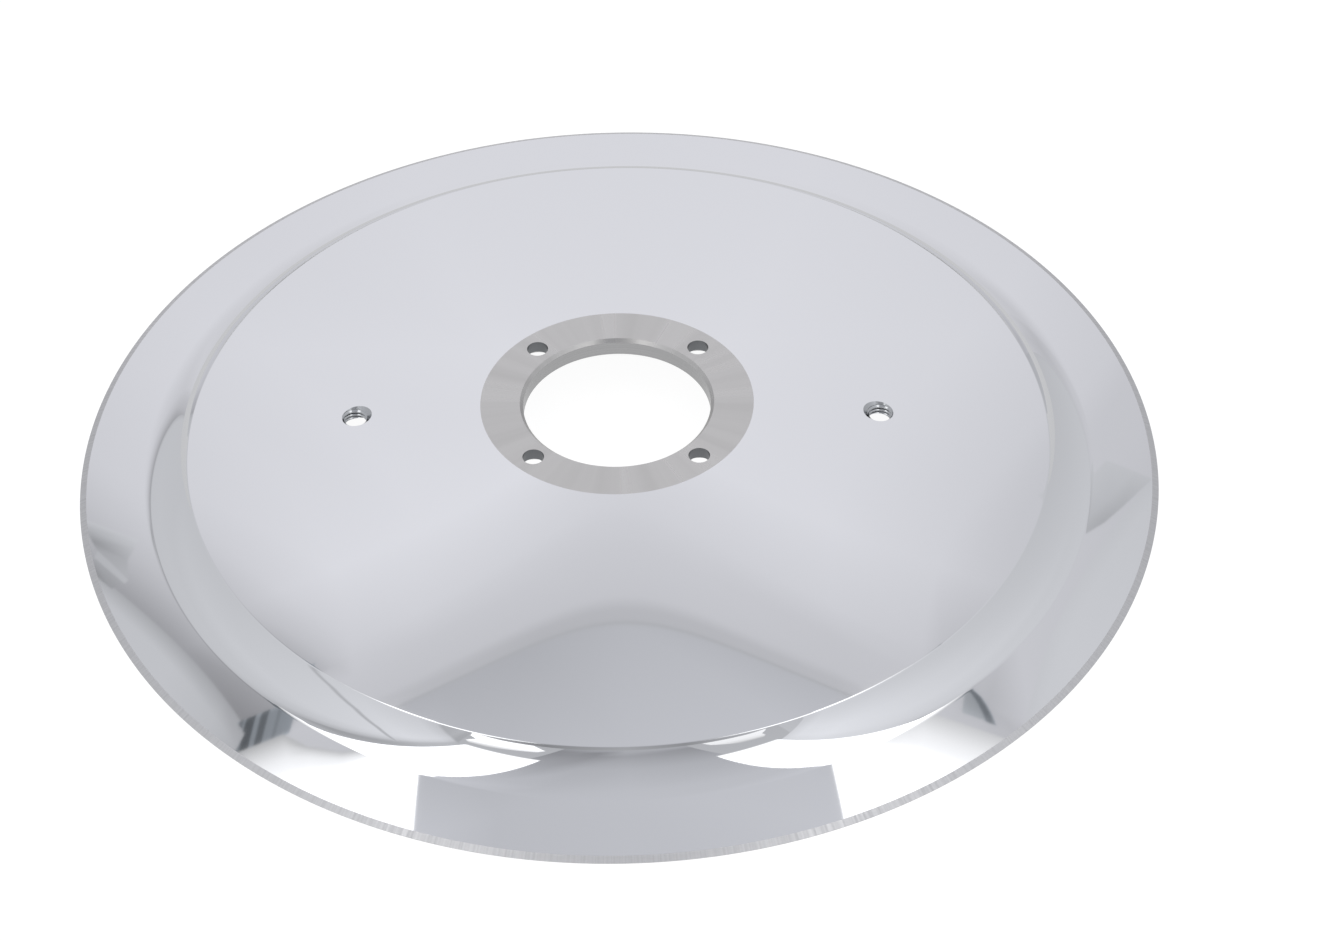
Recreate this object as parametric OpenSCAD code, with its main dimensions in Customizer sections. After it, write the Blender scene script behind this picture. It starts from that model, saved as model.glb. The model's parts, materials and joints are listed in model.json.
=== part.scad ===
// Round food slicer blade, turned in one piece from hardened chromium steel.
// It lies on its cutting edge with the hub face up: the edge is at z = 0, the bore axis is Z.

/* [Blade] */
// Diameter over the cutting edge
outer_d = 330; // [290:1:400]
// Height from the cutting edge to the hub's seating face
blade_h = 22.5; // [20:0.1:30]

/* [Hub] */
// Bore that centres the blade on the machine's spigot
bore_d = 57; // [50:0.5:59]
// Chamfer round the bore on the seating face
bore_chamfer = 1; // [0.2:0.1:1.5]
// Chamfer round the bore on the hollow side
back_chamfer = 0.5; // [0.2:0.1:0.8]
// Diameter of the flat seating ring, and of the boss below it
ring_d = 83; // [82.5:0.5:110]
// Thickness of the hub between the seating ring and the boss face
hub_t = 6; // [5:0.1:8]
// Slope of the boss's flank on the hollow side
boss_flank = 45; // [30:1:70]

/* [Fixing holes] */
// Number of fixing screws
screw_count = 4; // [3:1:6]
// Diameter of the screw holes
screw_d = 6.5; // [4:0.1:8]
// Diameter of the circle the screw holes lie on
screw_pcd = 70; // [69:0.5:71]
// Diameter of the countersinks for the screw heads on the hollow side
head_d = 11; // [9:0.1:11.4]
// Full angle of the countersinks
head_angle = 90; // [80:1:120]

/* [Extractor holes] */
// Number of tapped holes for lifting the blade off
puller_count = 2; // [1:1:4]
// Core diameter of the tapped holes
puller_d = 6.8; // [5:0.1:8.5]
// Diameter of the circle the tapped holes lie on
puller_pcd = 160; // [120:1:220]
// Diameter of the countersunk mouths
puller_mouth = 9; // [9:0.1:11]

/* [Dish] */
// Width from the cutting edge in to the ridge of the dished plate
rim_w = 33.5; // [28:0.5:45]
// Height of the ridge above the cutting edge
ridge_h = 10.5; // [8.5:0.1:13]
// Rounding of the ridge
ridge_r = 0.5; // [0.2:0.1:1.5]
// Radius of the cove that runs from the ridge down to the rim
cove_r = 21; // [18:0.5:24]
// Thickness of the dished plate and of the cove's wall
web_t = 3.8; // [3:0.1:5]
// Radius inside the hollow, under the ridge
hollow_r = 8; // [3:0.5:15]

/* [Rim] */
// Slope of the rim's upper face
rim_slope = 7; // [5:0.5:9]
// Width of the ground bevel at the cutting edge
bevel_w = 2; // [1:0.1:4]
// Angle of the ground bevel
bevel_angle = 25; // [18:1:32]
// Thickness left at the cutting edge
edge_t = 0.1; // [0.05:0.01:0.3]
// Width of the flat land under the cutting edge
land_w = 8; // [3:0.5:15]
// Rise of the rim's lower face from the land to the hollow
relief = 0.4; // [0.1:0.1:0.8]

/* [Hidden] */

// How far a cutting tool runs past the face it cuts
over = 1;
// Facets of a full turn, and of each arc of the section
turn_fn = 180;
arc_steps = 16;

// Radii that the section is drawn from
edge_x = outer_d / 2;
ridge_x = edge_x - rim_w;
ring_x = ring_d / 2;
bore_x = bore_d / 2;

// The plate falls in a straight cone from the seating ring to the ridge
plate_slope = atan((blade_h - ridge_h) / (ridge_x - ring_x));
plate_along = [cos(plate_slope), -sin(plate_slope)];
plate_up = [sin(plate_slope), cos(plate_slope)];
ridge = [ridge_x, ridge_h];

// The rim's upper face rises in a straight cone from the bevel
bevel_top = [edge_x - bevel_w, edge_t + bevel_w * tan(bevel_angle)];
rim_along = [cos(rim_slope), -sin(rim_slope)];
rim_up = [sin(rim_slope), cos(rim_slope)];

// The cove touches the rim's cone and runs up through the ridge
ridge_off = ridge - bevel_top;
ridge_rise = ridge_off * rim_up;
cove_run = ridge_off * rim_along + sqrt(2 * cove_r * ridge_rise - pow(ridge_rise, 2));
cove_c = bevel_top + cove_run * rim_along + cove_r * rim_up;

// Centre of an arc that touches the plate's line moved down by drop, reach from the cove's centre
function touch(drop, reach) =
    let (start = ridge - drop * plate_up,
         away = start - cove_c,
         along = away * plate_along,
         aside = away * plate_up)
    start - (along + sqrt(pow(reach, 2) - pow(aside, 2))) * plate_along;

// Angle of the direction from one point to another
function heading(from, to) = atan2(to[1] - from[1], to[0] - from[0]);

// Points along an arc, both ends included
function arc(centre, radius, first, last) =
    [for (i = [0:arc_steps])
        let (a = first + (last - first) * i / arc_steps)
        centre + radius * [cos(a), sin(a)]];

// Rounding of the ridge, and the cove's own arc
ridge_c = touch(ridge_r, cove_r + ridge_r);
ridge_end = heading(ridge_c, cove_c);
cove_end = -90 - rim_slope;

// The wall of the hollow runs at the plate's thickness behind the cove
wall_r = cove_r + web_t;
hollow_c = touch(web_t + hollow_r, wall_r + hollow_r);
hollow_end = heading(hollow_c, cove_c);
wall_end = asin(max(-1, (relief - cove_c[1]) / wall_r));

// Height of the plate's lower face above a radius
function under(x) = ridge_h + (ridge_x - x) * tan(plate_slope) - web_t / cos(plate_slope);

// The boss below the seating ring, its flank meeting the plate's lower face
boss_z = blade_h - hub_t;
flank_run = (under(ring_x) - boss_z) / (tan(boss_flank) + tan(plate_slope));
flank_top = [ring_x + flank_run, boss_z + flank_run * tan(boss_flank)];

// Half section of the blade, from the bore outwards over the top and back underneath
function section() = concat(
    [[bore_x, boss_z + back_chamfer],
     [bore_x, blade_h - bore_chamfer],
     [bore_x + bore_chamfer, blade_h],
     [ring_x, blade_h]],
    arc(ridge_c, ridge_r, 90 - plate_slope, ridge_end),
    arc(cove_c, cove_r, ridge_end - 180, cove_end),
    [bevel_top,
     [edge_x, edge_t],
     [edge_x, 0],
     [edge_x - land_w, 0]],
    arc(cove_c, wall_r, -180 - wall_end, hollow_end - 180),
    arc(hollow_c, hollow_r, hollow_end, 90 - plate_slope),
    [flank_top,
     [ring_x, boss_z],
     [bore_x + back_chamfer, boss_z]]);

// Height of the plate's upper face above a radius
function over_plate(x) = ridge_h + (ridge_x - x) * tan(plate_slope);

// Through hole for a fixing screw, its countersink on the hollow side
module screw_hole() {
    sink_h = (head_d - screw_d) / 2 / tan(head_angle / 2);
    translate([0, 0, boss_z - over])
        cylinder(h = hub_t + 2 * over, d = screw_d, $fn = 64);
    translate([0, 0, boss_z])
        cylinder(h = sink_h, d1 = head_d, d2 = screw_d, $fn = 64);
    translate([0, 0, boss_z - over])
        cylinder(h = over, d = head_d, $fn = 64);
}

// Core hole of an extractor thread, with a mouth at 90 degrees on the polished side
module puller_hole() {
    top_z = over_plate(puller_pcd / 2);
    sink_h = (puller_mouth - puller_d) / 2;
    translate([0, 0, top_z - 2 * web_t])
        cylinder(h = 4 * web_t, d = puller_d, $fn = 64);
    translate([0, 0, top_z - sink_h])
        cylinder(h = sink_h + over, d1 = puller_d, d2 = puller_mouth + 2 * over, $fn = 64);
}

module blade() {
    color([0.80, 0.81, 0.83])
        difference() {
            rotate_extrude($fn = turn_fn)
                polygon(section());
            for (i = [0:screw_count - 1])
                rotate([0, 0, 45 + i * 360 / screw_count])
                    translate([screw_pcd / 2, 0, 0])
                        screw_hole();
            for (i = [0:puller_count - 1])
                rotate([0, 0, i * 360 / puller_count])
                    translate([puller_pcd / 2, 0, 0])
                        puller_hole();
        }
}

blade();
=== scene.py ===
import json
import math
import bpy
from mathutils import Matrix, Vector


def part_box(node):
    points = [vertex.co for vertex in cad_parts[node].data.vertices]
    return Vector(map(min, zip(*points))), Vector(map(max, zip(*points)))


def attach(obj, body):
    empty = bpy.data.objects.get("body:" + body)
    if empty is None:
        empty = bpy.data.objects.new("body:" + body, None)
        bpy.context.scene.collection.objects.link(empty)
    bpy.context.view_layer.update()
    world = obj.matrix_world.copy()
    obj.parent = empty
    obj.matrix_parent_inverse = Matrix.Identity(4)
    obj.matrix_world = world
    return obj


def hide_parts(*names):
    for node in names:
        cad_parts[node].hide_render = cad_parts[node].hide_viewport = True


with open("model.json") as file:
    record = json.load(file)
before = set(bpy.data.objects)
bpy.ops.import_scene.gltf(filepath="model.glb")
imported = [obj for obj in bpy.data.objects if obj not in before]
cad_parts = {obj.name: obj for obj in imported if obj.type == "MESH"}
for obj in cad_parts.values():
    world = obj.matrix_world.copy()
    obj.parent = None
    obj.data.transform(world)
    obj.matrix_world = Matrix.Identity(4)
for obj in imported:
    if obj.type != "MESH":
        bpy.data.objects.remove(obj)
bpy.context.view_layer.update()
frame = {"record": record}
mounts = {mount["name"]: mount for mount in frame["record"]["mounts"]}
mm = 0.001


def linear(hexColour):
    # sRGB hex to the linear values that Blender works in
    channels = [int(hexColour[i:i + 2], 16) / 255 for i in (1, 3, 5)]
    return [c / 12.92 if c <= 0.04045 else ((c + 0.055) / 1.055) ** 2.4 for c in channels] + [1.0]


def addNode(tree, kind, values=None, **settings):
    # one node with its settings; a socket among the values becomes a link, and a node stands for its first socket
    node = tree.nodes.new(kind)
    for name, value in settings.items():
        setattr(node, name, value)
    for name, value in (values or {}).items():
        if isinstance(value, bpy.types.Node):
            value = value.outputs[0]
        if isinstance(value, bpy.types.NodeSocket):
            tree.links.new(value, node.inputs[name])
        else:
            node.inputs[name].default_value = value
    return node


# steel finishes, all of the same chromium steel

steel = {
    "polishedColour": "#DCDDE0", "polishedRoughness": 0.025,
    # the faced rays are painted sheen: lighter streaks in the colour, with lower roughness along them
    "facedColour": "#C3C2C1", "facedRoughness": 0.30, "facedSheenRays": 5.0,
    "bevelColour": "#CECED0", "bevelRoughness": 0.40, "bevelRays": 260.0, "bevelGrain": 0.02 * mm,
    "boredColour": "#C8C8C9", "boredRoughness": 0.22, "boredPitch": 0.35 * mm,
    # the drilled colour is darkened by painted shade that stands for the shade inside the screw holes
    "drilledShadedColour": "#86888B", "drilledRoughness": 0.30,
    "tappedColour": "#B4B6B9", "tappedRoughness": 0.14,
    "hollowColour": "#C9CACC", "hollowRoughness": 0.24, "hollowPitch": 0.5 * mm,
}


def newMaterial(name):
    material = bpy.data.materials.new(name)
    material.use_nodes = True
    tree = material.node_tree
    tree.nodes.clear()
    return material, tree


def radialRays(tree, density):
    # noise that changes only with the angle round the axis, so it draws rays from the centre
    place = addNode(tree, "ShaderNodeTexCoord")
    flat = addNode(tree, "ShaderNodeVectorMath", {0: place.outputs["Object"], 1: (1, 1, 0)}, operation="MULTIPLY")
    aim = addNode(tree, "ShaderNodeVectorMath", {0: flat}, operation="NORMALIZE")
    return addNode(tree, "ShaderNodeTexNoise", {"Vector": aim, "Scale": density, "Detail": 3.0}, noise_dimensions="2D")


def turnedRings(tree, pitch):
    # noise that changes only with the radius and the height, so it draws rings round the axis
    place = addNode(tree, "ShaderNodeTexCoord")
    split = addNode(tree, "ShaderNodeSeparateXYZ", {0: place.outputs["Object"]})
    flat = addNode(tree, "ShaderNodeVectorMath", {0: place.outputs["Object"], 1: (1, 1, 0)}, operation="MULTIPLY")
    radius = addNode(tree, "ShaderNodeVectorMath", {0: flat}, operation="LENGTH")
    line = addNode(tree, "ShaderNodeCombineXYZ", {0: radius.outputs["Value"], 1: split.outputs[2]})
    return addNode(tree, "ShaderNodeTexNoise", {"Vector": line, "Scale": 1 / pitch, "Detail": 2.0})


def steelShader(tree, colour, roughness, marks=None, spread=0.0, height=0.0, anisotropic=0.0):
    # marks: a 0..1 pattern that lightens and smooths the steel by spread and raises it by height
    shader = addNode(tree, "ShaderNodeBsdfPrincipled", {"Metallic": 1.0, "Roughness": roughness,
                                                        "Base Color": linear(colour)})
    if anisotropic:
        # a quarter turn from the radial tangent spreads the light across the rings of the tool
        shader.inputs["Anisotropic"].default_value = anisotropic
        shader.inputs["Anisotropic Rotation"].default_value = 0.25
        grain = addNode(tree, "ShaderNodeTangent", direction_type="RADIAL", axis="Z")
        tree.links.new(grain.outputs[0], shader.inputs["Tangent"])
    if marks and spread:
        dark = [c * (1 - spread) for c in linear(colour)[:3]] + [1.0]
        tone = addNode(tree, "ShaderNodeMix", {"Factor": marks, 6: dark, 7: linear(colour)}, data_type="RGBA")
        tree.links.new(tone.outputs[2], shader.inputs["Base Color"])
        rough = addNode(tree, "ShaderNodeMapRange", {"Value": marks, "From Min": 0.3, "From Max": 0.7,
                                                     "To Min": roughness * 1.25, "To Max": roughness * 0.8})
        tree.links.new(rough.outputs[0], shader.inputs["Roughness"])
    if marks and height:
        bump = addNode(tree, "ShaderNodeBump", {"Height": marks, "Distance": height, "Strength": 1.0})
        tree.links.new(bump.outputs[0], shader.inputs["Normal"])
    addNode(tree, "ShaderNodeOutputMaterial", {"Surface": shader})


# buffed on a wheel: a true mirror with a breath of haze
polished, tree = newMaterial("buffedChromiumSteel")
steelShader(tree, steel["polishedColour"], steel["polishedRoughness"])

# faced on a lathe: satin, light spread across the rings of the tool, fanned rays of painted sheen that lighten the
# colour, with the roughness lower along them
faced, tree = newMaterial("latheFacedChromiumSteel")
steelShader(tree, steel["facedColour"], steel["facedRoughness"], radialRays(tree, steel["facedSheenRays"]), 0.16,
            anisotropic=0.5)

# ground dry with a fine wheel: dull satin with a short grain across the edge
ground, tree = newMaterial("wheelGroundChromiumSteel")
steelShader(tree, steel["bevelColour"], steel["bevelRoughness"], radialRays(tree, steel["bevelRays"]), 0.22,
            height=steel["bevelGrain"])

# bored on a lathe: shiny with rings left by the tool
bored, tree = newMaterial("latheBoredChromiumSteel")
steelShader(tree, steel["boredColour"], steel["boredRoughness"], turnedRings(tree, steel["boredPitch"]), 0.25,
            anisotropic=0.6)

# drilled: semi-gloss; its colour is darkened by painted shade that stands for the shade inside the screw holes
drilled, tree = newMaterial("drilledChromiumSteelInPaintedShade")
steelShader(tree, steel["drilledShadedColour"], steel["drilledRoughness"])

# turned and brushed on the lathe: satin with fine rings
brushed, tree = newMaterial("latheBrushedChromiumSteel")
steelShader(tree, steel["hollowColour"], steel["hollowRoughness"], turnedRings(tree, steel["hollowPitch"]), 0.12,
            anisotropic=0.5)

# freshly tapped: bright thread flanks with dark grooves between them
tapped, tree = newMaterial("freshTappedChromiumSteel")
steelShader(tree, steel["tappedColour"], steel["tappedRoughness"])

finishes = [polished, faced, ground, bored, drilled, brushed, tapped]
print("steel finishes made:", len(finishes))


# blade: its section is drawn from the same sizes as the part's source

blade = {
    "edgeRadius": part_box("blade")[1].x,
    "seatHeight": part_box("blade")[1].z,
    "boreRadius": mounts["bore"]["dims"]["r_mm"] * mm,
    "boreChamfer": 1.0 * mm,
    "backChamfer": 0.5 * mm,
    "seatRadius": 41.5 * mm,
    "hubThickness": 6.0 * mm,
    "bossFlank": math.radians(45),
    "rimWidth": 33.5 * mm,
    "ridgeHeight": 10.5 * mm,
    "ridgeRound": 0.5 * mm,
    "coveRadius": 21.0 * mm,
    "wall": 3.8 * mm,
    "hollowRound": 8.0 * mm,
    "rimSlope": math.radians(7),
    "bevelWidth": 2.0 * mm,
    "bevelAngle": math.radians(25),
    "edgeThickness": 0.1 * mm,
    "landWidth": 8.0 * mm,
    "relief": 0.4 * mm,
    "screwCount": mounts["fixing_screws"]["dims"]["count"],
    "screwCircle": mounts["fixing_screws"]["dims"]["pcd_mm"] / 2 * mm,
    "screwHole": mounts["fixing_screws"]["dims"]["hole_r_mm"] * mm,
    "screwSink": 5.5 * mm,
    "tapCircle": mounts["extractor_hole_a"]["pos_m"][0],
    "tapCore": mounts["extractor_hole_a"]["dims"]["r_mm"] * mm,
    "tapCrest": 4.0 * mm,
    "tapPitch": 1.25 * mm,
    "tapMouth": 4.5 * mm,
    "tapReach": 6.0 * mm,  # depth of the tap below the plate's face
    "screwStart": math.radians(45), "tapCount": 2,
    "past": 1.0 * mm,  # how far a cutting tool runs past the face it cuts
    "crease": math.radians(6.5),  # an edge that bends by more stays crisp
    "hold": 0.25 * mm,  # an edge loop this close keeps the straight faces beside a rounding flat
    "turnSteps": 480, "holeSteps": 72, "tapRows": 112,
    "boreSteps": 3, "seatSteps": 6, "plateSteps": 24, "ridgeSteps": 18, "coveSteps": 30, "rimSteps": 8,
    "wallSteps": 20, "hollowSteps": 16, "underSteps": 16, "bossSteps": 4,
}
finishOf = {"polished": 0, "faced": 1, "ground": 2, "bored": 3, "drilled": 4, "brushed": 5, "tapped": 6}


def polar(angle, length=1.0):
    return Vector((math.cos(angle), math.sin(angle))) * length


def arc(centre, radius, first, last, steps):
    return [centre + polar(first + (last - first) * i / steps, radius) for i in range(steps + 1)]


def between(start, end, steps):
    # points from start up to, not including, end
    return [start.lerp(end, i / steps) for i in range(steps)]


def bladeSection(b):
    # half section from the bore outwards over the top and back underneath: (radius, height, finish)
    edge, seat, boss = b["edgeRadius"], b["seatHeight"], b["seatHeight"] - b["hubThickness"]
    ridge = Vector((edge - b["rimWidth"], b["ridgeHeight"]))
    seatEdge = Vector((b["seatRadius"], seat))
    slope = math.atan2(seat - ridge.y, ridge.x - seatEdge.x)
    plateAlong, plateUp = polar(-slope), polar(math.pi / 2 - slope)
    bevelTop = Vector((edge - b["bevelWidth"], b["edgeThickness"] + b["bevelWidth"] * math.tan(b["bevelAngle"])))
    rimAlong, rimUp = polar(-b["rimSlope"]), polar(math.pi / 2 - b["rimSlope"])
    offset = ridge - bevelTop
    rise = offset.dot(rimUp)
    run = offset.dot(rimAlong) + math.sqrt(2 * b["coveRadius"] * rise - rise ** 2)
    cove = bevelTop + run * rimAlong + b["coveRadius"] * rimUp

    def touching(drop, reach):
        # centre of an arc that touches the plate's line moved down by drop, reach from the cove's centre
        start = ridge - drop * plateUp
        away = start - cove
        return start - (away.dot(plateAlong) + math.sqrt(reach ** 2 - away.dot(plateUp) ** 2)) * plateAlong

    def heading(start, end):
        return math.atan2(end.y - start.y, end.x - start.x)

    top = touching(b["ridgeRound"], b["coveRadius"] + b["ridgeRound"])
    topEnd = heading(top, cove)
    wall = b["coveRadius"] + b["wall"]
    inner = touching(b["wall"] + b["hollowRound"], wall + b["hollowRound"])
    innerEnd = heading(inner, cove)
    wallEnd = math.asin((b["relief"] - cove.y) / wall)
    underSeat = ridge.y + (ridge.x - seatEdge.x) * math.tan(slope) - b["wall"] / math.cos(slope)
    flankRun = (underSeat - boss) / (math.tan(b["bossFlank"]) + math.tan(slope))
    flankTop = Vector((seatEdge.x + flankRun, boss + flankRun * math.tan(b["bossFlank"])))

    ridgeArc = arc(top, b["ridgeRound"], math.pi / 2 - slope, topEnd, b["ridgeSteps"])
    coveArc = arc(cove, b["coveRadius"], topEnd - math.pi, -math.pi / 2 - b["rimSlope"], b["coveSteps"])
    wallArc = arc(cove, wall, -math.pi - wallEnd, innerEnd - math.pi, b["wallSteps"])
    innerArc = arc(inner, b["hollowRound"], innerEnd, math.pi / 2 - slope, b["hollowSteps"])
    plateEnd = ridgeArc[0] - b["hold"] * plateAlong
    rimStart = coveArc[-1] + b["hold"] * rimAlong
    low = Vector((b["boreRadius"], boss + b["backChamfer"]))
    high = Vector((b["boreRadius"], seat - b["boreChamfer"]))
    chamfer = Vector((b["boreRadius"] + b["boreChamfer"], seat))
    bossIn = Vector((b["boreRadius"] + b["backChamfer"], boss))
    bossOut = Vector((seatEdge.x, boss))
    runs = [
        ("bored", between(low, high, b["boreSteps"])),
        ("faced", [high] + between(chamfer, seatEdge, b["seatSteps"])),
        ("polished", between(seatEdge, plateEnd, b["plateSteps"]) + [plateEnd] + ridgeArc + coveArc[1:]
         + between(rimStart, bevelTop, b["rimSteps"])),
        ("ground", [bevelTop, Vector((edge, b["edgeThickness"]))]),
        ("brushed", [Vector((edge, 0)), Vector((edge - b["landWidth"], 0))] + wallArc + innerArc[1:-1]
         + between(innerArc[-1], flankTop, b["underSteps"]) + [flankTop] + between(bossOut, bossIn, b["bossSteps"])),
        ("bored", [bossIn]),
    ]
    return [(p.x, p.y, finishOf[name]) for name, points in runs for p in points], slope


section, plateSlope = bladeSection(blade)
bossHeight = blade["seatHeight"] - blade["hubThickness"]
ridgeRadius = blade["edgeRadius"] - blade["rimWidth"]
tapTop = blade["ridgeHeight"] + (ridgeRadius - blade["tapCircle"]) * math.tan(plateSlope)
past = blade["past"]
sinkDepth = blade["screwSink"] - blade["screwHole"]
screwTool = [(0, bossHeight - past), (blade["screwSink"], bossHeight - past), (blade["screwSink"], bossHeight),
             (blade["screwHole"], bossHeight + sinkDepth), (blade["screwHole"], blade["seatHeight"] + past),
             (0, blade["seatHeight"] + past)]
tapLow, tapHigh, tapRows = tapTop - blade["tapReach"], tapTop + past, blade["tapRows"]
tapTool = ([(0, tapLow)] + [(blade["tapCore"], tapLow + (tapHigh - tapLow) * i / tapRows) for i in range(tapRows + 1)]
           + [(0, tapHigh)])

# the drawn sections of the blade and of both tools, as rows of points in one mesh; each runs outwards over its top
drawn = (section + [(r, z, finishOf["drilled"]) for r, z in screwTool[::-1]]
         + [(r, z, finishOf["tapped"]) for r, z in tapTool[::-1]])
kinds = [0] * len(section) + [1] * len(screwTool) + [2] * len(tapTool)
sections = bpy.data.meshes.new("sections")
sections.from_pydata([(r, 0, z) for r, z, _ in drawn], [], [])
sections.attributes.new("finish", "INT", "POINT").data.foreach_set("value", [f for _, _, f in drawn])
sections.attributes.new("tool", "INT", "POINT").data.foreach_set("value", kinds)
bladeDisc = bpy.data.objects.new("bladeDisc", sections)
bpy.context.scene.collection.objects.link(bladeDisc)


def geometryTree(name, sockets):
    # sockets: (name, kind, direction)
    tree = bpy.data.node_groups.new(name, "GeometryNodeTree")
    for label, kind, way in sockets:
        tree.interface.new_socket(label, in_out=way, socket_type="NodeSocket" + kind)
    return tree, tree.nodes.new("NodeGroupInput").outputs, tree.nodes.new("NodeGroupOutput").inputs


# lathe: turns a row of points into a solid round Z; a row that starts and ends on the axis stays open (Closed 0)
lathe, given, made = geometryTree("turnOnLathe", [("Section", "Geometry", "INPUT"), ("Steps", "Int", "INPUT"),
                                                  ("Closed", "Int", "INPUT"), ("Solid", "Geometry", "OUTPUT")])
rowSize = addNode(lathe, "GeometryNodeAttributeDomainSize", {"Geometry": given["Section"]})
count = rowSize.outputs["Point Count"]
rowLength = addNode(lathe, "ShaderNodeMath", {0: count, 1: given["Closed"]}, operation="ADD")
columns = addNode(lathe, "ShaderNodeMath", {0: given["Steps"], 1: 1.0}, operation="ADD")
grid = addNode(lathe, "GeometryNodeMeshGrid", {"Vertices X": columns, "Vertices Y": rowLength})
# the grid's points run up one column after the other: which column a point is in, and how far up
index = addNode(lathe, "GeometryNodeInputIndex")
pastIndex = addNode(lathe, "ShaderNodeMath", {0: index, 1: 0.5}, operation="ADD")
columnShare = addNode(lathe, "ShaderNodeMath", {0: pastIndex, 1: rowLength}, operation="DIVIDE")
column = addNode(lathe, "ShaderNodeMath", {0: columnShare}, operation="FLOOR")
columnStart = addNode(lathe, "ShaderNodeMath", {0: column, 1: rowLength}, operation="MULTIPLY")
upColumn = addNode(lathe, "ShaderNodeMath", {0: index, 1: columnStart}, operation="SUBTRACT")
pick = addNode(lathe, "ShaderNodeMath", {0: upColumn, 1: count}, operation="FLOORED_MODULO")
position = addNode(lathe, "GeometryNodeInputPosition")
drawnPoint = addNode(lathe, "GeometryNodeSampleIndex", {"Geometry": given["Section"], "Value": position, "Index": pick},
                     data_type="FLOAT_VECTOR")
turnShare = addNode(lathe, "ShaderNodeMath", {0: column, 1: given["Steps"]}, operation="DIVIDE")
turnAngle = addNode(lathe, "ShaderNodeMath", {0: turnShare, 1: -2 * math.pi}, operation="MULTIPLY")
turnedPoint = addNode(lathe, "ShaderNodeVectorRotate", {"Vector": drawnPoint, "Angle": turnAngle},
                      rotation_type="Z_AXIS")
placed = addNode(lathe, "GeometryNodeSetPosition", {"Geometry": grid, "Position": turnedPoint})
# each face takes the finish of the section's point that it starts from
finish = addNode(lathe, "GeometryNodeInputNamedAttribute", {"Name": "finish"}, data_type="INT")
rowFaces = addNode(lathe, "ShaderNodeMath", {0: rowLength, 1: 1.0}, operation="SUBTRACT")
facePick = addNode(lathe, "ShaderNodeMath", {0: index, 1: rowFaces}, operation="FLOORED_MODULO")
faceFinish = addNode(lathe, "GeometryNodeSampleIndex", {"Geometry": given["Section"], "Value": finish,
                                                        "Index": facePick}, data_type="INT")
stored = addNode(lathe, "GeometryNodeStoreNamedAttribute", {"Geometry": placed, "Name": "finish", "Value": faceFinish},
                 data_type="INT", domain="FACE")
merged = addNode(lathe, "GeometryNodeMergeByDistance", {"Geometry": stored, "Distance": 0.002 * mm})
lathe.links.new(merged.outputs[0], made["Solid"])


# tap: cuts a right-hand thread into a round tool and opens its mouth at 90 degrees
tap, given, made = geometryTree("tapThread", [
    ("Tool", "Geometry", "INPUT"), ("Core radius", "Float", "INPUT"), ("Crest radius", "Float", "INPUT"),
    ("Pitch", "Float", "INPUT"), ("Mouth radius", "Float", "INPUT"), ("Mouth height", "Float", "INPUT"),
    ("Tool", "Geometry", "OUTPUT")])
position = addNode(tap, "GeometryNodeInputPosition")
x, y, z = addNode(tap, "ShaderNodeSeparateXYZ", {0: position}).outputs
angle = addNode(tap, "ShaderNodeMath", {0: y, 1: x}, operation="ARCTAN2")
around = addNode(tap, "ShaderNodeMath", {0: angle, 1: 2 * math.pi}, operation="DIVIDE")
pitches = addNode(tap, "ShaderNodeMath", {0: z, 1: given["Pitch"]}, operation="DIVIDE")
climb = addNode(tap, "ShaderNodeMath", {0: pitches, 1: around}, operation="SUBTRACT")
# a wave that is 1 in the middle of each groove and 0 on each crest of the steel
sawtooth = addNode(tap, "ShaderNodeMath", {0: climb}, operation="FRACT")
doubled = addNode(tap, "ShaderNodeMath", {0: sawtooth, 1: 2.0}, operation="MULTIPLY")
centred = addNode(tap, "ShaderNodeMath", {0: doubled, 1: 1.0}, operation="SUBTRACT")
tooth = addNode(tap, "ShaderNodeMath", {0: centred}, operation="ABSOLUTE")
# a quarter of the pitch stays flat at the core, an eighth at the crest, with 60 degree flanks between
threadRadius = addNode(tap, "ShaderNodeMapRange", {"Value": tooth, "From Min": 0.25, "From Max": 0.875,
                                                   "To Min": given["Core radius"], "To Max": given["Crest radius"]})
aboveMouth = addNode(tap, "ShaderNodeMath", {0: z, 1: given["Mouth height"]}, operation="SUBTRACT")
mouthRadius = addNode(tap, "ShaderNodeMath", {0: given["Mouth radius"], 1: aboveMouth}, operation="ADD")
newRadius = addNode(tap, "ShaderNodeMath", {0: threadRadius, 1: mouthRadius}, operation="MAXIMUM")
xSquared = addNode(tap, "ShaderNodeMath", {0: x, 1: x}, operation="MULTIPLY")
ySquared = addNode(tap, "ShaderNodeMath", {0: y, 1: y}, operation="MULTIPLY")
squares = addNode(tap, "ShaderNodeMath", {0: xSquared, 1: ySquared}, operation="ADD")
oldRadius = addNode(tap, "ShaderNodeMath", {0: squares}, operation="SQRT")
safeRadius = addNode(tap, "ShaderNodeMath", {0: oldRadius, 1: 0.001 * mm}, operation="MAXIMUM")
growth = addNode(tap, "ShaderNodeMath", {0: newRadius, 1: safeRadius}, operation="DIVIDE")
offAxis = addNode(tap, "ShaderNodeMath", {0: oldRadius, 1: 0.1 * mm}, operation="GREATER_THAN")
grown = addNode(tap, "ShaderNodeCombineXYZ", {0: growth, 1: growth, 2: 1.0})
scaled = addNode(tap, "ShaderNodeVectorMath", {0: position, 1: grown}, operation="MULTIPLY")
cut = addNode(tap, "GeometryNodeSetPosition", {"Geometry": given["Tool"], "Selection": offAxis, "Position": scaled})
tap.links.new(cut.outputs[0], made["Tool"])


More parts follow.
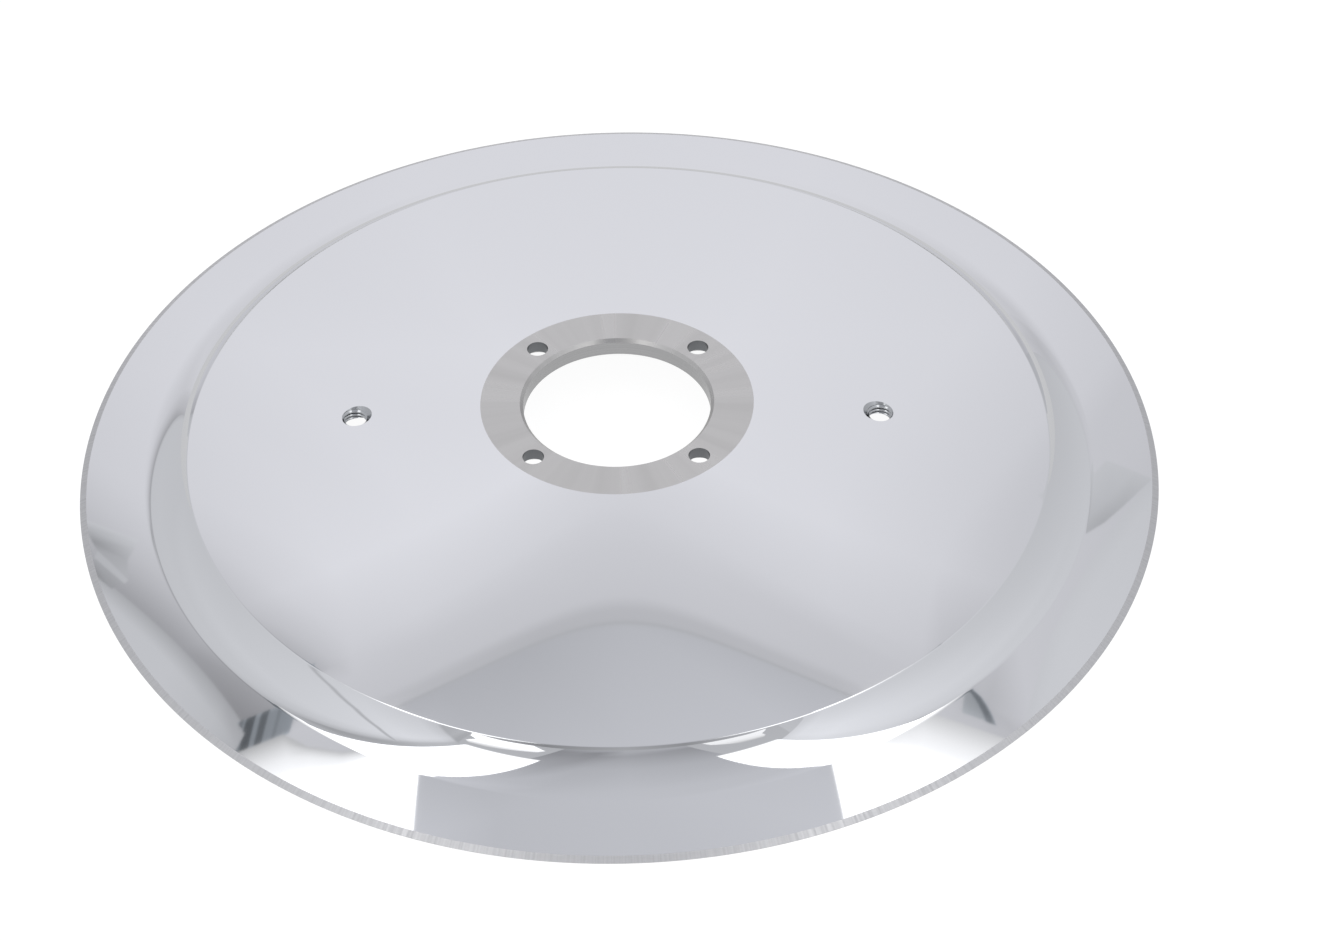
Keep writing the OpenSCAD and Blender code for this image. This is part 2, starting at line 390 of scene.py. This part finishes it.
# blade: the turned disc less its holes
bladeSizes = [
    ("Turn steps", "Int", blade["turnSteps"]), ("Hole steps", "Int", blade["holeSteps"]),
    ("Screw count", "Int", blade["screwCount"]), ("Screw circle", "Float", blade["screwCircle"]),
    ("Screw start", "Float", blade["screwStart"]), ("Tap count", "Int", blade["tapCount"]),
    ("Tap circle", "Float", blade["tapCircle"]), ("Tap core", "Float", blade["tapCore"]),
    ("Tap crest", "Float", blade["tapCrest"]), ("Tap pitch", "Float", blade["tapPitch"]),
    ("Tap mouth", "Float", blade["tapMouth"]), ("Tap top", "Float", tapTop),
    ("Crease", "Float", blade["crease"]),
]
turning, given, made = geometryTree("bladeTurning", [("Sections", "Geometry", "INPUT")]
                                    + [(name, kind, "INPUT") for name, kind, _ in bladeSizes]
                                    + [("Blade", "Geometry", "OUTPUT")])
drawnKind = addNode(turning, "GeometryNodeInputNamedAttribute", {"Name": "tool"}, data_type="INT")
solids = []
for kind, steps in enumerate((given["Turn steps"], given["Hole steps"], given["Hole steps"])):
    wanted = addNode(turning, "FunctionNodeCompare", {2: drawnKind, 3: kind}, data_type="INT", operation="EQUAL")
    rows = addNode(turning, "GeometryNodeSeparateGeometry", {"Geometry": given["Sections"], "Selection": wanted},
                   domain="POINT")
    solids.append(addNode(turning, "GeometryNodeGroup", {"Section": rows, "Steps": steps, "Closed": int(kind == 0)},
                          node_tree=lathe))
disc, drill, plainTap = solids

# drills on the screw circle
screwRing = addNode(turning, "GeometryNodeMeshCircle", {"Vertices": given["Screw count"],
                                                       "Radius": given["Screw circle"]})
screwAim = addNode(turning, "ShaderNodeCombineXYZ", {2: given["Screw start"]})
screwPoints = addNode(turning, "GeometryNodeTransform", {"Geometry": screwRing, "Rotation": screwAim})
screws = addNode(turning, "GeometryNodeInstanceOnPoints", {"Points": screwPoints, "Instance": drill})
screwTools = addNode(turning, "GeometryNodeRealizeInstances", {0: screws})
# taps on a line of points bent round the tap circle, because a mesh circle has three points at least
threadedTap = addNode(turning, "GeometryNodeGroup", {
    "Tool": plainTap, "Core radius": given["Tap core"], "Crest radius": given["Tap crest"],
    "Pitch": given["Tap pitch"], "Mouth radius": given["Tap mouth"], "Mouth height": given["Tap top"]}, node_tree=tap)
line = addNode(turning, "GeometryNodeMeshLine", {"Count": given["Tap count"]})
pointIndex = addNode(turning, "GeometryNodeInputIndex")
tapShare = addNode(turning, "ShaderNodeMath", {0: pointIndex, 1: given["Tap count"]}, operation="DIVIDE")
tapAngle = addNode(turning, "ShaderNodeMath", {0: tapShare, 1: 2 * math.pi}, operation="MULTIPLY")
tapCosine = addNode(turning, "ShaderNodeMath", {0: tapAngle}, operation="COSINE")
tapSine = addNode(turning, "ShaderNodeMath", {0: tapAngle}, operation="SINE")
tapX = addNode(turning, "ShaderNodeMath", {0: tapCosine, 1: given["Tap circle"]}, operation="MULTIPLY")
tapY = addNode(turning, "ShaderNodeMath", {0: tapSine, 1: given["Tap circle"]}, operation="MULTIPLY")
tapPoint = addNode(turning, "ShaderNodeCombineXYZ", {0: tapX, 1: tapY})
tapPoints = addNode(turning, "GeometryNodeSetPosition", {"Geometry": line, "Position": tapPoint})
taps = addNode(turning, "GeometryNodeInstanceOnPoints", {"Points": tapPoints, "Instance": threadedTap})
tapTools = addNode(turning, "GeometryNodeRealizeInstances", {0: taps})
tools = addNode(turning, "GeometryNodeJoinGeometry")
turning.links.new(screwTools.outputs[0], tools.inputs[0])
turning.links.new(tapTools.outputs[0], tools.inputs[0])
holed = addNode(turning, "GeometryNodeMeshBoolean", {"Mesh 1": disc, "Mesh 2": tools},
                operation="DIFFERENCE", solver="EXACT")
smooth = addNode(turning, "GeometryNodeSetShadeSmooth", {"Geometry": holed}, domain="FACE")
bend = addNode(turning, "GeometryNodeInputMeshEdgeAngle")
creased = addNode(turning, "ShaderNodeMath", {0: bend, 1: given["Crease"]}, operation="GREATER_THAN")
crisp = addNode(turning, "GeometryNodeSetShadeSmooth", {"Geometry": smooth, "Selection": creased,
                                                        "Shade Smooth": False}, domain="EDGE")
whole = addNode(turning, "GeometryNodeRealizeInstances", {0: crisp})
finishName = addNode(turning, "GeometryNodeInputNamedAttribute", {"Name": "finish"}, data_type="INT")
for number, material in enumerate(finishes):
    chosen = addNode(turning, "FunctionNodeCompare", {2: finishName, 3: number}, data_type="INT", operation="EQUAL")
    whole = addNode(turning, "GeometryNodeSetMaterial", {"Geometry": whole, "Selection": chosen, "Material": material})
turning.links.new(whole.outputs[0], made["Blade"])

modifier = bladeDisc.modifiers.new("bladeTurning", "NODES")
modifier.node_group = turning
identifiers = {item.name: item.identifier for item in turning.interface.items_tree if item.in_out == "INPUT"}
for name, _, value in bladeSizes:
    modifier[identifiers[name]] = value
evaluated = bladeDisc.evaluated_get(bpy.context.evaluated_depsgraph_get())
plain = bpy.data.meshes.new_from_object(evaluated)
bladeDisc.modifiers.clear()
bladeDisc.data = plain
plain.name = "bladeDisc"
for number in reversed([i for i, material in enumerate(plain.materials) if material is None]):
    plain.materials.pop(index=number)
print("blade turned:", len(plain.vertices), "points,", len(plain.polygons), "faces in",
      [(m.name, sum(f.material_index == i for f in plain.polygons)) for i, m in enumerate(plain.materials)])

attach(bladeDisc, "root")
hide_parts("blade")


# stage: a white table in a small light tent, open at the front, with a lamp along each side of its ceiling.
# The steel is a mirror, so the tent is made of cards that only the steel sees; their levels are listed.

stage = {
    "turn": math.radians(1.3),  # the tent and the camera stand turned by this against the blade's holes
    "white": "#FAFAFE", "grey": "#F6F7FA", "ceilingColour": "#F3F4F9", "grilleColour": "#E4ECF4",
    "ceiling": 0.87, "back": 0.40, "front": -1.20, "frontHalf": 0.86, "rightCorner": 0.345,
    # the table's level in the steel is lowered: painted shade for the blade's shade on the cloth
    "lampGlow": 2.0, "tableLevel": 0.93, "tableShadeInSteel": 0.60, "tableReach": 6.0, "worldLevel": 0.75,
}
lamps = {
    # edges: distance from the middle abreast of the blade's axis, and its growth towards the back
    # ends: where the inner and the outer edge end at the front; corner: inner edge at the back wall and before it
    # endRows: the soft end on the back wall, as heights over endAcross and a glow
    # sideRows: the tent's side below the lamp, as a height and the glow from the back corner to the front
    "Left": {
        "side": -1, "inner": (0.222, -0.063), "outer": (0.420, -0.210), "ends": (-0.595, -0.635),
        "corner": (0.200, 0.195),
        "endAcross": (0.24, 0.27, 0.295, 0.31, 0.36),
        "endRows": [((0.862, 0.845, 0.815, 0.782, 0.782), 0.60), ((0.865, 0.850, 0.822, 0.800, 0.800), 0.90),
                    ((0.868, 0.856, 0.832, 0.820, 0.820), 1.20), ((0.871, 0.864, 0.848, 0.840, 0.840), 1.38)],
        "sideRows": [(-0.02, (0.66, 0.76, 0.76, 0.77, 0.84, 0.80, 0.72, 0.58, 0.66)),
                     (0.60, (0.58, 0.80, 0.83, 0.93, 1.02, 0.96, 0.84, 0.62, 0.72)),
                     (0.70, (0.56, 0.74, 0.80, 0.88, 1.05, 1.00, 0.90, 0.66, 0.72)),
                     (0.76, (0.56, 0.64, 0.66, 0.72, 0.92, 0.92, 0.82, 0.62, 0.66)),
                     (0.78, (0.60, 0.58, 0.54, 0.60, 0.80, 0.84, 0.76, 0.60, 0.62)),
                     (0.80, (0.80, 0.60, 0.50, 0.54, 0.72, 0.74, 0.70, 0.58, 0.60)),
                     (0.87, (0.90, 0.66, 0.56, 0.60, 0.68, 0.70, 0.68, 0.58, 0.60))],
    },
    "Right": {
        "side": 1, "inner": (0.222, -0.080), "outer": (0.399, -0.177), "ends": (-0.560, -0.610),
        "corner": (0.194, 0.193),
        "endAcross": (0.24, 0.262, 0.275, 0.30, 0.345),
        "endRows": [((0.852, 0.812, 0.795, 0.794, 0.794), 0.80), ((0.857, 0.825, 0.812, 0.812, 0.812), 1.00),
                    ((0.862, 0.840, 0.828, 0.828, 0.828), 1.18), ((0.868, 0.856, 0.850, 0.850, 0.850), 1.36)],
        "sideRows": [(-0.02, (0.68, 0.70, 0.72, 0.76, 0.80, 0.80, 0.76, 0.64, 0.68)),
                     (0.20, (0.74, 0.78, 0.80, 0.83, 0.87, 0.87, 0.82, 0.66, 0.70)),
                     (0.60, (0.84, 0.87, 0.90, 1.00, 1.10, 1.08, 0.95, 0.74, 0.74)),
                     (0.75, (0.82, 0.86, 0.93, 1.02, 1.14, 1.10, 0.97, 0.76, 0.76)),
                     (0.87, (0.74, 0.82, 0.90, 1.00, 1.06, 1.02, 0.94, 0.78, 0.76))],
    },
}
tentTurn = Matrix.Rotation(stage["turn"], 4, "Z")
back, front, ceiling, half = stage["back"], stage["front"], stage["ceiling"], stage["frontHalf"]


def card(name, colour, rows, levels):
    # rows of points with the glow of each, seen only in the steel and lit by nothing else
    wide = len(rows[0])
    mesh = bpy.data.meshes.new(name)
    faces = [(r * wide + c, r * wide + c + 1, (r + 1) * wide + c + 1, (r + 1) * wide + c)
             for r in range(len(rows) - 1) for c in range(wide - 1)]
    mesh.from_pydata([tentTurn @ Vector(point) for row in rows for point in row], [], faces)
    mesh.attributes.new("glow", "FLOAT", "POINT").data.foreach_set("value", [g for row in levels for g in row])
    sheet = bpy.data.objects.new(name, mesh)
    bpy.context.scene.collection.objects.link(sheet)
    material, tree = newMaterial(name)
    glow = addNode(tree, "ShaderNodeAttribute", attribute_name="glow")
    light = addNode(tree, "ShaderNodeEmission", {"Color": linear(colour), "Strength": glow.outputs["Fac"]})
    addNode(tree, "ShaderNodeOutputMaterial", {"Surface": light})
    mesh.materials.append(material)
    sheet.visible_camera = False
    sheet.visible_shadow = False


def leftCorner(height):
    # the tent's left side leans out towards its foot, and stands clear of the lamp's end at the top
    return -0.424 + 0.118 * height if height < 0.77 else -0.358


# back wall: height, then the glow from the shade in the left corner to the shade in the right corner
backInwards = (0, 0.025, 0.05)
backAcross = (-0.27, -0.22, -0.10, 0.10, 0.22, 0.285, 0.30, 0.32, stage["rightCorner"])
backRows = [
    (-0.02, (0.62, 0.70, 0.84, 0.82, 0.82, 0.93, 0.93, 0.82, 0.80, 0.80, 0.74, 0.76)),
    (0.12, (0.50, 0.70, 0.80, 0.88, 0.91, 0.97, 0.97, 0.90, 0.78, 0.70, 0.68, 0.70)),
    (0.25, (0.50, 0.72, 0.84, 0.94, 0.99, 1.03, 1.02, 0.96, 0.86, 0.80, 0.79, 0.75)),
    (0.60, (0.48, 0.76, 0.92, 1.02, 1.04, 1.04, 1.02, 1.00, 0.92, 0.87, 0.82, 0.80)),
    (0.74, (0.36, 0.50, 0.78, 0.88, 0.92, 0.92, 0.91, 0.90, 0.84, 0.74, 0.68, 0.82)),
    (0.76, (0.36, 0.50, 0.74, 0.85, 0.88, 0.88, 0.88, 0.86, 0.82, 0.72, 0.68, 0.80)),
    (0.79, (0.60, 0.72, 0.80, 0.82, 0.82, 0.84, 0.84, 0.80, 0.80, 0.76, 0.74, 0.70)),
    (0.842, (0.66, 0.80, 0.80, 0.78, 0.78, 0.79, 0.80, 0.78, 0.78, 0.80, 0.80, 0.66)),
    (0.857, (0.66, 0.80, 0.80, 0.76, 0.70, 0.67, 0.68, 0.70, 0.76, 0.80, 0.80, 0.66)),
    (ceiling, (0.66, 0.80, 0.80, 0.76, 0.70, 0.66, 0.68, 0.70, 0.76, 0.80, 0.80, 0.66)),
]
card("backWall", stage["white"],
     [[(leftCorner(z) + inwards, back, z) for inwards in backInwards] + [(x, back, z) for x in backAcross]
      for z, _ in backRows], [levels for _, levels in backRows])

# folds of the cloth by the corners, as distance before the wall, outline and glow:
# on the left a light crease with dark shade on both sides, on the right a crease in dark shade, all painted into the
# glow
folds = {
    "foldCrease": (0.003, [[(-0.3595, 0.430), (-0.3560, 0.478)], [(-0.3635, 0.438), (-0.3590, 0.482)]],
                   [[0.68, 0.72], [0.68, 0.72]]),
    "foldAbove": (0.002, [[(-0.3600, 0.430), (-0.3590, 0.417), (-0.3570, 0.400), (-0.3560, 0.385)],
                          [(-0.3560, 0.476), (-0.3500, 0.452), (-0.3430, 0.440), (-0.3380, 0.430)]],
                  [[0.56, 0.44, 0.64, 0.80], [0.66, 0.62, 0.76, 0.86]]),
    "foldBelow": (0.002, [[(-0.3640, 0.438), (-0.3595, 0.480)], [(-0.3692, 0.462), (-0.3680, 0.486)]],
                  [[0.56, 0.58], [0.38, 0.46]]),
    "foldRight": (0.002, [[(0.318, 0.360), (0.334, 0.368), (0.345, 0.374)],
                          [(0.316, 0.400), (0.332, 0.408), (0.341, 0.414)],
                          [(0.314, 0.424), (0.329, 0.432), (0.338, 0.438)],
                          [(0.312, 0.442), (0.325, 0.450), (0.333, 0.458)]],
                  [[0.79, 0.77, 0.75], [0.79, 0.72, 0.63], [0.79, 0.70, 0.58], [0.81, 0.74, 0.62]]),
}
for name, (before, outline, levels) in folds.items():
    card(name, stage["grey"], [[(x, back - before, z) for x, z in row] for row in outline], levels)

for key, lamp in lamps.items():
    side = lamp["side"]

    def edge(which, y):
        # point on the lamp's edge at the ceiling
        start, growth = lamp[which]
        return (side * (start + growth * y), y, ceiling)

    # lamp: rows from the corner to the front end, and one more where the glow has fallen just past the end
    innerEnd, outerEnd = lamp["ends"]
    pastEnd = 0.045
    spans = [((side * lamp["corner"][0], 0.366, ceiling), (side * stage["rightCorner"], back, ceiling)),
             ((side * lamp["corner"][1], 0.325, ceiling), edge("outer", 0.325)),
             (edge("inner", 0.27), edge("outer", 0.27)),
             (edge("inner", innerEnd), edge("outer", outerEnd)),
             (edge("inner", innerEnd - pastEnd), edge("outer", outerEnd - pastEnd))]
    rows = [[inner, tuple((a + b) / 2 for a, b in zip(inner, outer)), outer] for inner, outer in spans]
    rows[0][1] = (side * 0.24, 0.398, ceiling)
    card("lamp" + key, "#FFFFFF", rows, [[stage["lampGlow"]] * 3] * 4 + [[0.62, 0.68, 0.76]])
    # the lamp's soft end comes down the back wall in the corner, over the lamp's dark grille
    across = lamp["endAcross"]
    card("lampEnd" + key, "#FFFFFF",
         [[(side * x, back - 0.004, z) for x, z in zip(across, heights)] for heights, _ in lamp["endRows"]]
         + [[(side * x, back - 0.004, 0.875) for x in across]],
         [[glow] * len(across) for _, glow in lamp["endRows"]] + [[stage["lampGlow"]] * len(across)])
    # the tent's side stands under the lamp's outer edge, ends with the lamp and then opens to the front
    foot = ([edge("outer", y)[:2] for y in (0.20, 0.0, -0.30, -0.50, -0.60)]
            + [(side * 0.60, -0.68), (side * half, front)])
    sideWall = []
    for z, _ in lamp["sideRows"]:
        if side < 0:
            lean = leftCorner(z) + 0.336
            near = [(leftCorner(z), back, z), (-0.3392 + 0.95 * lean, 0.385, z), (-0.378 + 0.4 * lean, 0.20, z)]
        else:
            near = [(stage["rightCorner"], back, z), (0.3465, 0.385, z), (*foot[0], z)]
        sideWall.append(near + [(x, y, z) for x, y in foot[1:]])
    card("side" + key, stage["grey"], sideWall, [levels for _, levels in lamp["sideRows"]])

# left grille: dark slats that lean, as middle, half width and glow, with lighter gaps between them
slats = [(0.3360, 0.0012, 0.24), (0.3295, 0.0030, 0.16), (0.3195, 0.0024, 0.20), (0.3085, 0.0010, 0.34)]
gapGlow, crispness = 0.42, 0.0008
columns = [(0.340, 0.50)]
for middle, wide, glow in slats:
    columns += [(middle + wide + crispness, gapGlow), (middle + wide, glow),
                (middle - wide, glow), (middle - wide - crispness, gapGlow)]
columns += [(0.296, 0.46)]
# height, sideways lean and how much lighter the row is
slatRows = [(0.738, -0.002, 1.25), (0.744, 0.0, 1.0), (0.780, 0.0085, 1.0), (0.786, 0.010, 1.45)]
card("grilleLeft", stage["grilleColour"],
     [[(-x - lean, back - 0.003, z) for x, _ in columns] for z, lean, _ in slatRows],
     [[glow * lift for _, glow in columns] for _, _, lift in slatRows])
# right grille: only its rim shows, as a bow of dark teeth with dim light inside it
bow = [(0.302, 0.735), (0.310, 0.744), (0.315, 0.755), (0.319, 0.766), (0.323, 0.780)]
card("grilleRight", stage["grilleColour"],
     [[(x + wide, back - 0.003, z) for wide in (-0.0045, -0.003, 0.001, 0.003)] for x, z in bow],
     [[0.44, 0.26, 0.26, 0.62]] * 4 + [[0.52, 0.36, 0.36, 0.66]])
card("grilleInside", "#EEF3F8", [[(0.302, back - 0.002, z), (x, back - 0.002, z)] for x, z in bow],
     [[0.52, 0.46]] * 3 + [[0.56, 0.48], [0.66, 0.58]])

# ceiling between the lamps: lighter beside them at the back, with a dark band along the left one at the front
middleAcross = (-0.30, -0.20, -0.12, 0.0, 0.30)
middleRows = [
    (back, (0.68, 0.66, 0.65, 0.72, 0.71)),
    (0.32, (0.88, 0.86, 0.76, 0.79, 0.88)),
    (0.0, (0.79, 0.75, 0.72, 0.77, 0.77)),
    (-0.50, (0.56, 0.55, 0.65, 0.68, 0.64)),
    (-0.90, (0.41, 0.43, 0.43, 0.53, 0.48)),
    (-1.05, (0.39, 0.43, 0.39, 0.59, 0.45)),
    (front, (0.48, 0.53, 0.58, 0.62, 0.59)),
]
card("ceilingMiddle", stage["ceilingColour"], [[(x, y, ceiling + 0.004) for x in middleAcross] for y, _ in middleRows],
     [levels for _, levels in middleRows])
card("ceilingSides", stage["grey"],
     [[(-1.0, y, ceiling + 0.008), (1.0, y, ceiling + 0.008)] for y in (0.45, -0.66, front)],
     [[0.62, 0.62], [0.68, 0.68], [0.62, 0.66]])

# the open front: a dim room with two soft lights on stands and the dark camera between them
roomAcross = [(-0.87, 0.74), (-0.80, 0.64), (-0.40, 0.36), (-0.30, 0.42), (0.0, 0.56), (0.30, 0.42), (0.40, 0.50),
              (0.72, 0.64), (0.87, 0.82)]
roomUp = [(-0.02, 2.1), (0.12, 2.1), (0.17, 1.0), (0.45, 0.94), (0.80, 0.95), (ceiling + 0.02, 1.0)]
card("room", stage["grey"], [[(x, front, z) for x, _ in roomAcross] for z, _ in roomUp],
     [[a * u for _, a in roomAcross] for _, u in roomUp])
near = front + 0.01
card("softboxLeft", "#FFFFFF", [[(-0.79, near, 0.18), (-0.39, near, 0.18)], [(-0.78, near, 0.80), (-0.39, near, 0.49)]],
     [[2.4, 2.2], [2.2, 1.4]])
card("softboxRight", "#FFFFFF", [[(0.36, near, 0.18), (0.69, near, 0.18)], [(0.45, near, 0.54), (0.69, near, 0.57)]],
     [[1.05, 1.3], [1.0, 1.15]])
card("cameraBody", stage["grey"],
     [[(-0.205, near, 0.39), (-0.14, near, 0.39)], [(-0.205, near, 0.61), (-0.14, near, 0.61)]],
     [[0.2, 0.2], [0.24, 0.24]])
# the upper parts of the two soft lights, laid flat at the ceiling's height where the steel sees them:
# distance from the blade's axis, left and right edge, glow at both
softTops = {
    "softboxLeftTop": [(-0.76, -0.60, -0.52, 0.75, 0.75), (-0.83, -0.66, -0.43, 1.3, 1.05),
                       (-0.89, -0.675, -0.35, 1.9, 1.2), (-0.98, -0.69, -0.34, 2.0, 1.5),
                       (-1.08, -0.79, -0.40, 2.0, 1.6), (-1.18, -0.84, -0.46, 2.0, 1.6)],
    "softboxRightTop": [(-0.86, 0.46, 0.57, 0.66, 0.72), (-0.94, 0.42, 0.62, 1.0, 1.15),
                        (-1.03, 0.38, 0.65, 1.18, 1.26), (-1.18, 0.38, 0.76, 1.24, 1.30)],
}
for name, rows in softTops.items():
    card(name, "#FFFFFF", [[(left, y, ceiling - 0.002), (right, y, ceiling - 0.002)] for y, left, right, _, _ in rows],
         [[leftGlow, rightGlow] for _, _, _, leftGlow, rightGlow in rows])
# a seam runs up the tent's left side in a bow: height, distance from the blade's axis
seam = [(0.10, -0.165), (0.17, -0.184), (0.25, -0.212), (0.40, -0.228), (0.59, -0.208), (0.78, -0.155)]
outerStart, outerGrowth = lamps["Left"]["outer"]
card("seamLeft", stage["grey"],
     [[(-(outerStart + outerGrowth * (y + aside)) + 0.004, y + aside, z) for aside in (-0.014, 0.0, 0.014)]
      for z, y in seam], [[0.86, 0.62, 0.86]] * len(seam))

# the table is white to the camera; the steel mirrors the cloth round the blade as light grey, as the ridge shows it,
# so rays that the steel mirrors and transmits meet a lower level: painted shade, standing for the blade's shade on the
# cloth
table = bpy.data.objects.new("table", bpy.data.meshes.new("table"))
reach = stage["tableReach"]
corners = [(-reach, -reach, 0), (reach, -reach, 0), (reach, reach, 0), (-reach, reach, 0)]
table.data.from_pydata(corners, [], [(0, 1, 2, 3)])
bpy.context.scene.collection.objects.link(table)
material, tree = newMaterial("whiteTable")
ray = addNode(tree, "ShaderNodeLightPath").outputs
mirroring = addNode(tree, "ShaderNodeMath", {0: ray["Is Glossy Ray"], 1: ray["Is Transmission Ray"]},
                    operation="MAXIMUM")
# painted shade: the cloth seen in the steel is dimmed to stand for the blade's shade on it
shadedMirror = addNode(tree, "ShaderNodeMath", {0: mirroring, 1: stage["tableShadeInSteel"]}, operation="MULTIPLY")
direct = addNode(tree, "ShaderNodeMath", {0: ray["Is Camera Ray"], 1: stage["tableLevel"]}, operation="MULTIPLY")
tableGlow = addNode(tree, "ShaderNodeMath", {0: direct, 1: shadedMirror}, operation="MAXIMUM")
light = addNode(tree, "ShaderNodeEmission", {"Color": linear("#FFFFFF"), "Strength": tableGlow})
paint = addNode(tree, "ShaderNodeBsdfDiffuse", {"Color": linear("#6A6A6A")})
litCloth = addNode(tree, "ShaderNodeAddShader", {0: light, 1: paint})
addNode(tree, "ShaderNodeOutputMaterial", {"Surface": litCloth})
table.data.materials.append(material)

world = bpy.data.worlds.new("studio")
bpy.context.scene.world = world
world.use_nodes = True
tree = world.node_tree
tree.nodes.clear()
ray = addNode(tree, "ShaderNodeLightPath").outputs
# the background is white to the camera, and gives the steel a dimmer light past the cards
level = addNode(tree, "ShaderNodeMapRange", {"Value": ray["Is Camera Ray"], "To Min": stage["worldLevel"],
                                             "To Max": 1.0})
sky = addNode(tree, "ShaderNodeBackground", {"Color": linear("#FFFFFF"), "Strength": level})
addNode(tree, "ShaderNodeOutputWorld", {"Surface": sky})
print("stage set")


# camera, solved from the outlines of the edge, the ridge, the seating ring and the bore

view = {
    "imageWidth": 1319, "focalPixels": 3409.7, "shiftPixels": 30.87,
    "elevation": math.radians(42.535), "roll": math.radians(1.392),
    "distance": 1.0499, "aside": 3.029 * mm, "above": -4.560 * mm,
}
rightward = Vector((1, 0, 0))
forward = Vector((0, math.cos(view["elevation"]), -math.sin(view["elevation"])))
upward = rightward.cross(forward)
eye = rightward * view["aside"] + upward * view["above"] - forward * view["distance"]
cosRoll, sinRoll = math.cos(view["roll"]), math.sin(view["roll"])
axes = [rightward * cosRoll - upward * sinRoll, rightward * sinRoll + upward * cosRoll, -forward]
facing = Matrix(axes).transposed().to_4x4()
camera = bpy.data.objects.new("camera", bpy.data.cameras.new("camera"))
bpy.context.scene.collection.objects.link(camera)
camera.matrix_world = tentTurn @ Matrix.Translation(eye) @ facing
camera.data.sensor_width = 36.0
camera.data.lens = view["focalPixels"] / view["imageWidth"] * camera.data.sensor_width
camera.data.shift_x = view["shiftPixels"] / view["imageWidth"]
camera.data.clip_start, camera.data.clip_end = 0.01, 50.0
bpy.context.scene.camera = camera
bpy.context.scene.view_settings.view_transform = "Standard"
print("camera placed")
